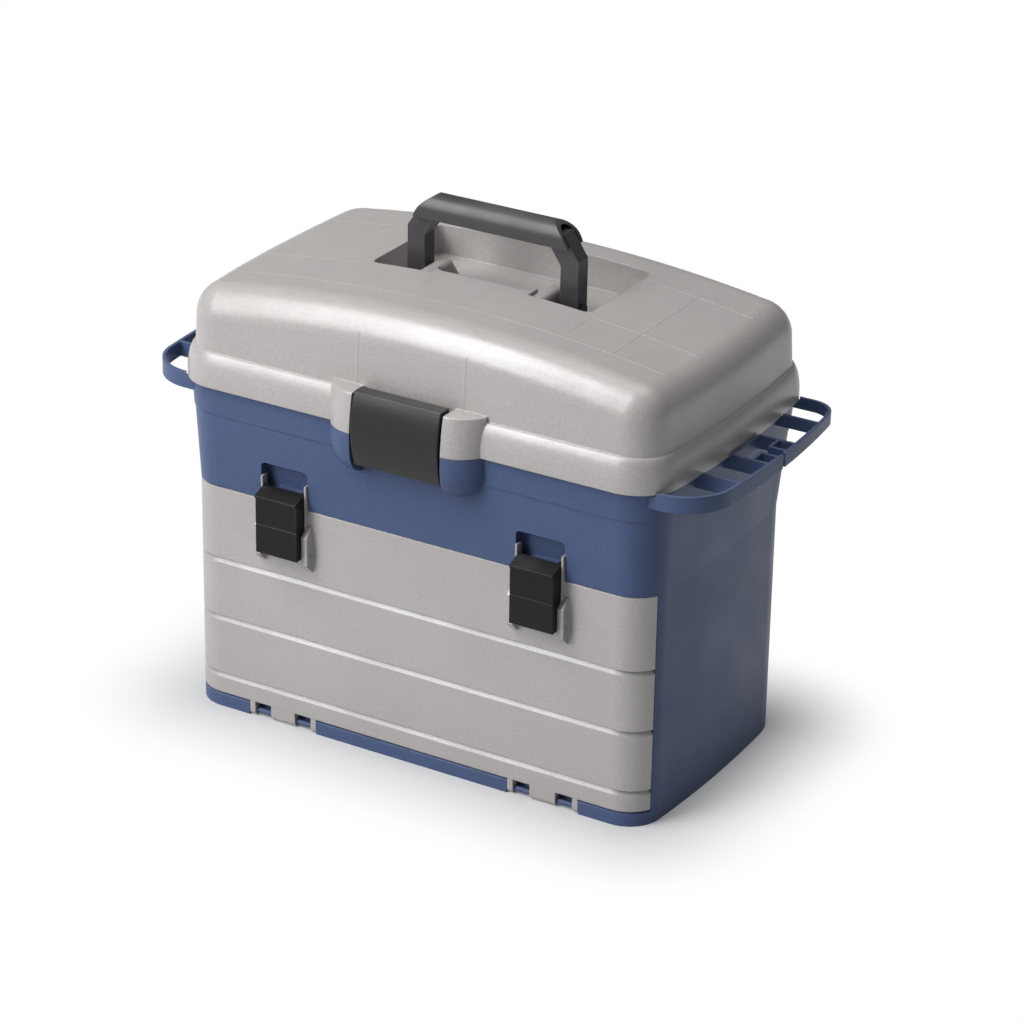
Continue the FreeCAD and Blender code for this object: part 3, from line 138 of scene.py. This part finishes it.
class Graph:
    """A node tree with short calls to add and join nodes."""

    def __init__(self, tree):
        self.tree = tree

    def add(self, kind, **settings):
        node = self.tree.nodes.new("ShaderNode" + kind)
        for name, value in settings.items():
            setattr(node, name, value)
        return node

    def join(self, source, target):
        self.tree.links.new(source, target)

    def fill(self, slot, value):
        """Sets a socket to a plain value, or joins another socket to it."""
        if isinstance(value, (int, float, tuple)):
            slot.default_value = value
        else:
            self.join(value, slot)

    def math(self, operation, first, second=None, clamp=False):
        node = self.add("Math", operation=operation, use_clamp=clamp)
        self.fill(node.inputs[0], first)
        if second is not None:
            self.fill(node.inputs[1], second)
        return node.outputs[0]

    def mix(self, factor, first, second, mode="MIX"):
        node = self.add("Mix", data_type="RGBA", blend_type=mode)
        for slot, value in zip((node.inputs[0], node.inputs[6], node.inputs[7]), (factor, first, second)):
            self.fill(slot, value)
        return node.outputs[2]

    def noise(self, place, scale, detail, rough=0.5):
        node = self.add("TexNoise")
        node.inputs["Detail"].default_value = detail
        node.inputs["Roughness"].default_value = rough
        self.join(place, node.inputs["Vector"])
        self.fill(node.inputs["Scale"], scale)
        return node.outputs["Fac"]

    def per_metre(self, size):
        """How many of a size go into a metre."""
        return self.math("DIVIDE", 1.0, size)

    def span(self, value, low, high, to_low=0.0, to_high=1.0):
        """Carries a value smoothly from one range over to another."""
        node = self.add("MapRange", interpolation_type="SMOOTHSTEP")
        self.join(value, node.inputs["Value"])
        for name, number in (("From Min", low), ("From Max", high), ("To Min", to_low), ("To Max", to_high)):
            node.inputs[name].default_value = number
        return node.outputs[0]


def new_group(name, inputs, outputs):
    """A shader node group with named value inputs and outputs."""
    tree = bpy.data.node_groups.new(name, "ShaderNodeTree")
    for label, default in inputs:
        socket = tree.interface.new_socket(name=label, in_out="INPUT", socket_type="NodeSocketFloat")
        socket.default_value = default
    for label in outputs:
        tree.interface.new_socket(name=label, in_out="OUTPUT", socket_type="NodeSocketFloat")
    return tree, Graph(tree), tree.nodes.new("NodeGroupInput"), tree.nodes.new("NodeGroupOutput")


def new_material(name):
    """A material with its node graph and its main shader."""
    material = bpy.data.materials.new(name)
    material.use_nodes = True
    return material, Graph(material.node_tree), material.node_tree.nodes["Principled BSDF"]


def moulded_grain():
    """The fine texture of the mould, and the slow drift of tone across a moulding."""
    tree, graph, given, out = new_group(
        "Moulded grain", [("Grain size", 0.0011), ("Flow size", FLOW_SIZE)], ["Height", "Tone", "Speckle"])
    place = graph.add("TexCoord").outputs["Object"]
    fine_scale = graph.per_metre(given.outputs["Grain size"])
    fine = graph.noise(place, fine_scale, detail=2.0, rough=0.6)
    pits = graph.add("TexVoronoi", feature="F1")
    graph.join(place, pits.inputs["Vector"])
    graph.join(graph.math("MULTIPLY", fine_scale, PITS_PER_GRAIN), pits.inputs["Scale"])
    height = graph.math("ADD", graph.math("MULTIPLY", fine, FINE_SHARE),
                        graph.math("MULTIPLY", pits.outputs["Distance"], PIT_SHARE))
    graph.join(height, out.inputs["Height"])
    flow = graph.noise(place, graph.per_metre(given.outputs["Flow size"]), detail=4.0, rough=0.55)
    graph.join(graph.span(flow, 0.25, 0.75), out.inputs["Tone"])
    graph.join(graph.span(fine, 0.35, 0.65), out.inputs["Speckle"])
    return tree


def edge_wear_and_highlight():
    """Edges paled and polished by handling, with painted highlight in the paling."""
    tree, graph, given, out = new_group(
        "Edge wear", [("Width", WEAR_AND_HIGHLIGHT_WIDTH), ("Amount", 0.5), ("Patch size", WEAR_AND_HIGHLIGHT_PATCH)], ["Mask"])
    bevel = graph.add("Bevel", samples=BEVEL_SAMPLES)
    graph.join(given.outputs["Width"], bevel.inputs["Radius"])
    true_normal = graph.add("NewGeometry").outputs["Normal"]
    dot = graph.add("VectorMath", operation="DOT_PRODUCT")
    graph.join(bevel.outputs[0], dot.inputs[0])
    graph.join(true_normal, dot.inputs[1])
    edge = graph.span(dot.outputs["Value"], 0.995, 0.86)
    place = graph.add("TexCoord").outputs["Object"]
    patch = graph.noise(place, graph.per_metre(given.outputs["Patch size"]), detail=5.0, rough=0.6)
    worn_and_highlit = graph.math("MULTIPLY", edge, graph.span(patch, 0.38, 0.62))
    graph.join(graph.math("MULTIPLY", worn_and_highlit, given.outputs["Amount"], clamp=True), out.inputs["Mask"])
    return tree


def settled_dust():
    """A thin film on upward faces, with wiped patches."""
    tree, graph, given, out = new_group(
        "Settled dust", [("Amount", 0.2), ("Patch size", DUST_PATCH)], ["Mask"])
    split = graph.add("SeparateXYZ")
    graph.join(graph.add("NewGeometry").outputs["Normal"], split.inputs[0])
    up = graph.span(split.outputs["Z"], 0.55, 1.0)
    place = graph.add("TexCoord").outputs["Object"]
    film = graph.noise(place, graph.per_metre(given.outputs["Patch size"]), detail=6.0, rough=0.65)
    mask = graph.math("MULTIPLY", up, graph.span(film, 0.35, 0.75))
    graph.join(graph.math("MULTIPLY", mask, given.outputs["Amount"], clamp=True), out.inputs["Mask"])
    return tree


GRAIN = moulded_grain()
WEAR_AND_HIGHLIGHT = edge_wear_and_highlight()
FILM = settled_dust()


def use_group(graph, tree, **values):
    """Places a group in a material and sets its values."""
    node = graph.add("Group")
    node.node_tree = tree
    for name, value in values.items():
        node.inputs[name.replace("_", " ")].default_value = value
    return node


def plastic(name, colour, shade, grain_size, grain_depth, roughness, gloss, film, soft_edge, wear_and_highlight=0.25):
    """A moulded plastic with grain, drifting tone, edges paled by handling and by painted highlight, and
    soft arrises.
    """
    material, graph, shader = new_material(name)
    shader.inputs["Specular IOR Level"].default_value = gloss
    grain = use_group(graph, GRAIN, Grain_size=grain_size)
    edges = use_group(graph, WEAR_AND_HIGHLIGHT, Amount=wear_and_highlight)
    dust = use_group(graph, FILM, Amount=film)
    tone = graph.mix(grain.outputs["Tone"], linear(shade), linear(colour))
    speckle = graph.span(grain.outputs["Speckle"], 0.0, 1.0, *SPECKLE_RANGE)
    toned = graph.mix(1.0, tone, speckle, "MULTIPLY")
    # Edges paled for handling and also as painted highlight
    paled = linear([c + (1 - c) * PALED_SHARE for c in colour])
    pale = graph.mix(edges.outputs["Mask"], toned, paled)
    graph.join(graph.mix(dust.outputs["Mask"], pale, linear(DUST)), shader.inputs["Base Color"])
    duller, glossier = ROUGH_DRIFT
    rough = graph.span(grain.outputs["Tone"], 0.0, 1.0, roughness + duller, roughness + glossier)
    polished = graph.math("SUBTRACT", rough, graph.math("MULTIPLY", edges.outputs["Mask"], WEAR_POLISH))
    dulled = graph.math("ADD", polished, graph.math("MULTIPLY", dust.outputs["Mask"], DUST_DULLING))
    graph.join(dulled, shader.inputs["Roughness"])
    bevel = graph.add("Bevel", samples=BEVEL_SAMPLES)
    bevel.inputs["Radius"].default_value = soft_edge
    bump = graph.add("Bump")
    bump.inputs["Strength"].default_value = 1.0
    bump.inputs["Distance"].default_value = grain_depth
    graph.join(grain.outputs["Height"], bump.inputs["Height"])
    graph.join(bevel.outputs[0], bump.inputs["Normal"])
    graph.join(bump.outputs[0], shader.inputs["Normal"])
    return material


def pin_steel():
    """Drawn wire: bright metal with fine scratches round it."""
    material, graph, shader = new_material("drawn steel")
    shader.inputs["Metallic"].default_value = 1.0
    place = graph.add("Mapping")
    place.inputs["Scale"].default_value = SCRATCH_SCALE
    graph.join(graph.add("TexCoord").outputs["Object"], place.inputs["Vector"])
    scratches = graph.noise(place.outputs[0], scale=1.0, detail=3.0)
    shaded = linear([c * STEEL_SHADE_SHARE for c in STEEL])
    graph.join(graph.mix(scratches, shaded, linear(STEEL)), shader.inputs["Base Color"])
    graph.join(graph.span(scratches, 0.2, 0.8, *STEEL_ROUGHNESS), shader.inputs["Roughness"])
    return material


FINISHES = {
    "grey_plastic": plastic("grey moulded plastic", GREY, GREY_SHADE, grain_size=0.0017,
                            grain_depth=0.00013, roughness=0.35, gloss=0.95, film=0.10, soft_edge=0.0012),
    "blue_plastic": plastic("blue moulded plastic", BLUE, BLUE_SHADE, grain_size=0.0015,
                            grain_depth=0.00011, roughness=0.40, gloss=0.20, film=0.08, soft_edge=0.0009),
    "black_plastic": plastic("black moulded plastic", BLACK, BLACK_SHADE, grain_size=0.0013,
                             grain_depth=0.00009, roughness=0.36, gloss=0.34, film=0.06, soft_edge=0.0006),
    "tray_plastic": plastic("tray plastic", TRAY, TRAY_SHADE, grain_size=0.0008, grain_depth=0.00003,
                            roughness=0.36, gloss=0.45, film=0.06, soft_edge=0.0005, wear_and_highlight=0.20),
    "divider_plastic": plastic("amber divider plastic", AMBER, AMBER_SHADE, grain_size=0.0007,
                               grain_depth=0.00002, roughness=0.28, gloss=0.50, film=0.04,
                               soft_edge=0.0003, wear_and_highlight=0.20),
    "pin_steel": pin_steel(),
}
# Copies of the black plastic: painted light for the handle, painted shade for the panel latches
HANDLE_PAINTED_LIGHT_FINISH = plastic("handle black with painted light", HANDLE_PAINTED_LIGHT, HANDLE_PAINTED_LIGHT_TONE, grain_size=0.0013,
                        grain_depth=0.00012, roughness=0.42, gloss=0.50, film=0.06, soft_edge=0.0006)
PANEL_LATCH_PAINTED_SHADE_FINISH = plastic("panel latch black with painted shade", PANEL_LATCH_PAINTED_SHADE, PANEL_LATCH_PAINTED_SHADE_TONE, grain_size=0.0013,
                             grain_depth=0.00007, roughness=0.34, gloss=0.16, film=0.04,
                             soft_edge=0.0006)
NODE_FINISHES = {
    "carry_handle": HANDLE_PAINTED_LIGHT_FINISH,
    "panel_latch_left": PANEL_LATCH_PAINTED_SHADE_FINISH,
    "panel_latch_right": PANEL_LATCH_PAINTED_SHADE_FINISH,
}


def dress_nodes():
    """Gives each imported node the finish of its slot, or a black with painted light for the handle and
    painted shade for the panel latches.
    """
    for part in frame["record"]["subparts"]:
        node = frame["nodes"][part["node"]]
        finish = NODE_FINISHES.get(part["node"], FINISHES[part["material_slot"]])
        node.data.materials.clear()
        node.data.materials.append(finish)


def lid_surface():
    """The lid's faces at rest, for finding points on them."""
    lid = frame["nodes"]["lid_shell"]
    corners = [lid.matrix_world @ corner.co for corner in lid.data.vertices]
    return BVHTree.FromPolygons(corners, [face.vertices for face in lid.data.polygons])


def places_on(surface, first, last, towards):
    """Points on the lid and their normals, found from a row of points in one direction."""
    places = []
    for step in range(LINE_SAMPLES + 1):
        point, normal, _, _ = surface.ray_cast(first.lerp(last, step / LINE_SAMPLES), towards)
        places.append((point, normal))
    return places


def raised_line(name, places, along):
    """A faint raised line laid on the lid through places, each a point and its outward normal."""
    corners = []
    for point, normal in places:
        across = along.cross(normal).normalized()
        corners += [point + across * LINE_WIDTH * side + normal * LINE_HEIGHT * up
                    for side, up in LINE_PROFILE_SHARES]
    width = len(LINE_PROFILE_SHARES)
    faces = []
    for row in range(len(places) - 1):
        for column in range(width - 1):
            first = row * width + column
            faces.append((first, first + 1, first + 1 + width, first + width))
    mesh = bpy.data.meshes.new(name)
    mesh.from_pydata(corners, [], faces)
    mesh.shade_smooth()
    mesh.materials.append(FINISHES["grey_plastic"])
    piece = bpy.data.objects.new(name, mesh)
    bpy.context.scene.collection.objects.link(piece)
    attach(piece, "lid")


def moulded_lines():
    """The faint lines that the mould leaves on the lid's top and front."""
    surface = lid_surface()
    for number, (start, end) in enumerate(TOP_LINES, start=1):
        first, last = Vector((*start, PROBE_START)), Vector((*end, PROBE_START))
        places = places_on(surface, first, last, Vector((0, 0, -1)))
        raised_line("lid_line_top_%d" % number, places, (last - first).normalized())
    for number, (across, low, high) in enumerate(FRONT_LINES, start=1):
        first, last = Vector((across, -PROBE_START, low)), Vector((across, -PROBE_START, high))
        places = places_on(surface, first, last, Vector((0, 1, 0)))
        raised_line("lid_line_front_%d" % number, places, Vector((0, 0, 1)))


def distance_from_foot(graph):
    """How far a point of the floor lies from the rectangle inside the cabinet's foot."""
    place = graph.add("SeparateXYZ")
    graph.join(graph.add("NewGeometry").outputs["Position"], place.inputs[0])
    squares = []
    for axis, half_size in FOOT_CORE_HALF_SIZES:
        distance = graph.math("SUBTRACT", graph.math("ABSOLUTE", place.outputs[axis]), half_size)
        outside = graph.math("MAXIMUM", distance, 0.0)
        squares.append(graph.math("MULTIPLY", outside, outside))
    return graph.math("POWER", graph.math("ADD", *squares), 0.5)


def floor():
    """A wide pale floor that is shaded near the cabinet and turns white a hand's width away."""
    bpy.ops.mesh.primitive_circle_add(vertices=FLOOR_CORNERS, radius=FLOOR_RADIUS, fill_type="NGON",
                                      location=(0, 0, 0))
    ground = bpy.context.object
    ground.name = "studio_floor"
    material, graph, shader = new_material("studio floor")
    shader.inputs["Base Color"].default_value = FLOOR_COLOUR
    shader.inputs["Roughness"].default_value = FLOOR_ROUGHNESS
    shader.inputs["Specular IOR Level"].default_value = FLOOR_GLOSS
    white = graph.add("Emission")
    white.inputs["Color"].default_value = WHITE
    white.inputs["Strength"].default_value = 1.0
    away = graph.span(distance_from_foot(graph), *FADE_RANGE)
    seen = graph.add("LightPath")
    eye = graph.math("MAXIMUM", seen.outputs["Is Camera Ray"], seen.outputs["Is Glossy Ray"])
    blend = graph.add("MixShader")
    graph.join(graph.math("MULTIPLY", away, eye), blend.inputs[0])
    graph.join(shader.outputs[0], blend.inputs[1])
    graph.join(white.outputs[0], blend.inputs[2])
    graph.join(blend.outputs[0], material.node_tree.nodes["Material Output"].inputs["Surface"])
    ground.data.materials.append(material)


def softbox(name, direction, distance, size, power):
    """A round area lamp that looks at the cabinet from a direction."""
    lamp = bpy.data.lights.new(name, "AREA")
    lamp.shape = "DISK"
    lamp.size = size
    lamp.energy = power
    holder = bpy.data.objects.new(name, lamp)
    bpy.context.scene.collection.objects.link(holder)
    towards = Vector(direction).normalized()
    holder.location = LAMP_AIM + towards * distance
    holder.rotation_euler = towards.to_track_quat("Z", "Y").to_euler()


def studio_light():
    """A large key from the front left above, weaker softboxes below it and overhead, an even surround."""
    for settings in SOFTBOXES:
        softbox(*settings)
    world = bpy.data.worlds.new("studio surround")
    bpy.context.scene.world = world
    world.use_nodes = True
    graph = Graph(world.node_tree)
    surround = world.node_tree.nodes["Background"]
    surround.inputs["Color"].default_value = WHITE
    eye = graph.add("LightPath").outputs["Is Camera Ray"]
    graph.join(graph.span(eye, 0.0, 1.0, SURROUND_LEVEL, 1.0), surround.inputs["Strength"])


def photo_camera():
    """The camera at the photograph's angle, with its small roll."""
    azimuth = math.radians(VIEW_AZIMUTH)
    elevation = math.radians(VIEW_ELEVATION)
    roll = math.radians(VIEW_ROLL)
    back = Vector((math.sin(azimuth) * math.cos(elevation), -math.cos(azimuth) * math.cos(elevation),
                   math.sin(elevation)))
    right = Vector((math.cos(azimuth), math.sin(azimuth), 0))
    up = back.cross(right)
    across = right * math.cos(roll) + up * math.sin(roll)
    upright = up * math.cos(roll) - right * math.sin(roll)
    lens = bpy.data.cameras.new("photo_camera")
    lens.lens = LENS_MM
    lens.sensor_width = SENSOR_MM
    lens.clip_end = VIEW_END
    camera = bpy.data.objects.new("photo_camera", lens)
    bpy.context.scene.collection.objects.link(camera)
    turn = Matrix((across, upright, back)).transposed().to_4x4()
    camera.matrix_world = Matrix.Translation(VIEW_TARGET + back * VIEW_DISTANCE) @ turn
    bpy.context.scene.camera = camera


dress_nodes()
moulded_lines()
floor()
studio_light()
photo_camera()
bpy.context.scene.view_settings.view_transform = "Standard"
